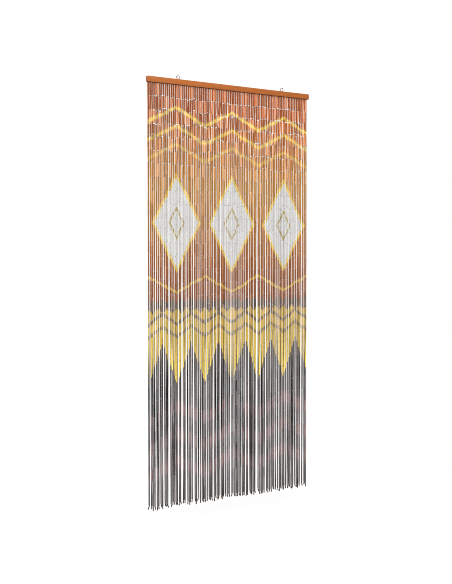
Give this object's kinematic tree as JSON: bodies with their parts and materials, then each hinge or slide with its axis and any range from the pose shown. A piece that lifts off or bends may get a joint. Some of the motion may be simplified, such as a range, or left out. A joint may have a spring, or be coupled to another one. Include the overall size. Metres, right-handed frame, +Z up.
{
  "type": "bamboo door curtain with header bar",
  "caption": "Doorway curtain of threaded bamboo tubes hanging side by side from a painted wooden bar with two screw eyes.",
  "frame": {"origin": "centre of the header bar's back face, which lies against the door frame", "axes": "+Z up along the strands, +Y out of the bar's back towards the wall, +X along the bar; the front faces -Y"},
  "size_m": [0.9002, 0.02, 2.0263],
  "materials": {
    "bar_paint": "satin terracotta paint on wood",
    "eye_steel": "steel wire with thin brass plating",
    "painted_bamboo": "thin matt paint on bamboo"
  },
  "bodies": {
    "root": {"header_bar": "bar_paint", "eye_left": "eye_steel", "eye_right": "eye_steel", "strands": "painted_bamboo"}
  },
  "joints": []
}
